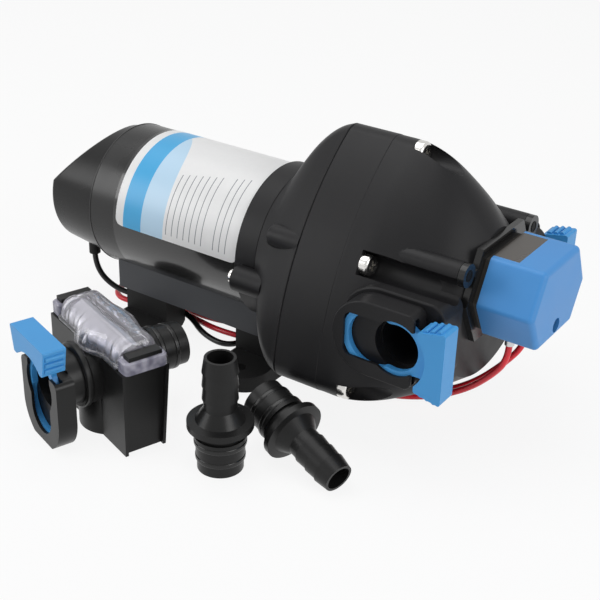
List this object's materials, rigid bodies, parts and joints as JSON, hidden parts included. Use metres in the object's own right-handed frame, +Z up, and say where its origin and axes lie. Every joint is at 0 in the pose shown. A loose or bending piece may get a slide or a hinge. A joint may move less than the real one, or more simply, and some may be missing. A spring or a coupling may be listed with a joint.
{
  "type": "diaphragm water pump",
  "caption": "Caravan water pump with a round motor, domed pump head, pressure switch and slide clip ports, shown with its strainer and hose fittings",
  "frame": {"origin": "Middle of the four mounting holes, on the surface the rubber feet stand on", "axes": "+X along the motor axis towards the pressure switch, +Z up, -Y the side with the inlet port"},
  "size_m": [0.2325, 0.1781, 0.1148],
  "materials": {
    "can_paint": "satin black paint",
    "label": "satin printed film",
    "black_metal": "satin black paint",
    "bronze": "sintered",
    "cap_plastic": "fine texture",
    "rubber": "matt",
    "housing_plastic": "fine texture",
    "bright_screw": "bright plated",
    "bearing_steel": "ground",
    "magnet": "sintered ferrite",
    "carbon": "pressed carbon",
    "white_plastic": "moulded",
    "seal": "smooth",
    "black_gloss": "gloss",
    "blue_plastic": "satin",
    "tinned": "tinned",
    "bracket_paint": "satin dark grey",
    "lead_black": "soft satin",
    "lead_red": "soft satin",
    "lamination": "stacked sheet",
    "copper": "enamelled",
    "spring_steel": "bright",
    "fitting_plastic": "satin",
    "clear_lid": "clear, lavender tint",
    "screen_steel": "woven"
  },
  "bodies": {
    "pump": {"base_bracket": "bracket_paint", "brush_card": "cap_plastic", "brushes": "carbon", "chamber_plate": "white_plastic", "diaphragm": "rubber", "drive_housing": "housing_plastic", "end_bell": "black_metal", "foot_front_far": "rubber", "foot_front_near": "rubber", "foot_rear_far": "rubber", "foot_rear_near": "rubber", "foot_screws": "bright_screw", "front_bearing": "bearing_steel", "head_screws": "bright_screw", "inlet_valves": "seal", "lead_black": "lead_black", "lead_grommets": "rubber", "lead_motor_red": "lead_red", "lead_red": "lead_red", "magnets": "magnet", "microswitch": "black_gloss", "motor_can": "can_paint", "outlet_valve": "seal", "pump_head": "housing_plastic", "rating_label": "label", "rear_bush": "bronze", "rear_cap": "cap_plastic", "switch_body": "black_gloss", "switch_plate": "black_gloss", "switch_screws": "bright_screw", "switch_terminals": "tinned", "through_bolts": "bright_screw", "valve_plate": "white_plastic"},
    "rotor": {"motor_shaft": "bearing_steel", "armature": "lamination", "windings": "copper", "commutator": "copper", "cam_hub": "white_plastic"},
    "wobble": {"cam_bearing": "bearing_steel", "wobble_plate": "white_plastic", "piston_top": "white_plastic", "piston_left": "white_plastic", "piston_right": "white_plastic"},
    "inlet_clip": {"inlet_clip": "blue_plastic"},
    "outlet_clip": {"outlet_clip": "blue_plastic"},
    "switch_plunger": {"switch_plunger": "white_plastic", "switch_spring": "spring_steel"},
    "adjusting_screw": {"adjusting_screw": "bright_screw"},
    "switch_cover": {"switch_cover": "blue_plastic"},
    "strainer": {"strainer_tub": "fitting_plastic", "strainer_rings": "seal", "strainer_gasket": "seal", "strainer_screen": "screen_steel"},
    "strainer_lid": {"strainer_lid": "clear_lid"},
    "strainer_clip": {"strainer_clip": "blue_plastic"},
    "fitting_upright": {"fitting_upright": "fitting_plastic", "fitting_upright_rings": "seal"},
    "fitting_lying": {"fitting_lying": "fitting_plastic", "fitting_lying_rings": "seal"}
  },
  "joints": [
    {"name": "rotor_spin", "type": "hinge", "parent": "pump", "child": "rotor", "pos_m": [0, 0, 0.0536], "axis": [1, 0, 0], "continuous": true},
    {"name": "wobble_turn", "type": "hinge", "parent": "rotor", "child": "wobble", "pos_m": [0.046, 0, 0.0536], "axis": [0.9981, 0, 0.061], "continuous": true},
    {"name": "inlet_clip_slide", "type": "slide", "parent": "pump", "child": "inlet_clip", "axis": [1, 0, 0], "range_m": [0, 0.0094]},
    {"name": "outlet_clip_slide", "type": "slide", "parent": "pump", "child": "outlet_clip", "axis": [1, 0, 0], "range_m": [0, 0.0094]},
    {"name": "plunger_press", "type": "slide", "parent": "pump", "child": "switch_plunger", "axis": [1, 0, 0], "range_m": [0, 0.0012], "stiffness_N_per_m": 600, "springref_m": -0.002},
    {"name": "adjusting_turn", "type": "hinge", "parent": "pump", "child": "adjusting_screw", "pos_m": [0.1384, 0, 0.0536], "axis": [1, 0, 0], "range_deg": [-360, 360]},
    {"name": "cover_pull", "type": "slide", "parent": "pump", "child": "switch_cover", "axis": [1, 0, 0], "range_m": [0, 0.025]},
    {"name": "strainer_lift", "type": "slide", "parent": "pump", "child": "strainer", "axis": [0, 0, 1], "range_m": [0, 0.04]},
    {"name": "strainer_lid_lift", "type": "slide", "parent": "strainer", "child": "strainer_lid", "axis": [0, 0, 1], "range_m": [0, 0.02]},
    {"name": "strainer_clip_slide", "type": "slide", "parent": "strainer", "child": "strainer_clip", "axis": [0, 0, 1], "range_m": [0, 0.0094]},
    {"name": "fitting_upright_lift", "type": "slide", "parent": "pump", "child": "fitting_upright", "axis": [0, 0, 1], "range_m": [0, 0.03]},
    {"name": "fitting_lying_slide", "type": "slide", "parent": "pump", "child": "fitting_lying", "axis": [1, 0, 0], "range_m": [0, 0.03]}
  ],
  "couplings": [
    {"joint": "wobble_turn", "follows": "rotor_spin", "ratio": -1}
  ]
}
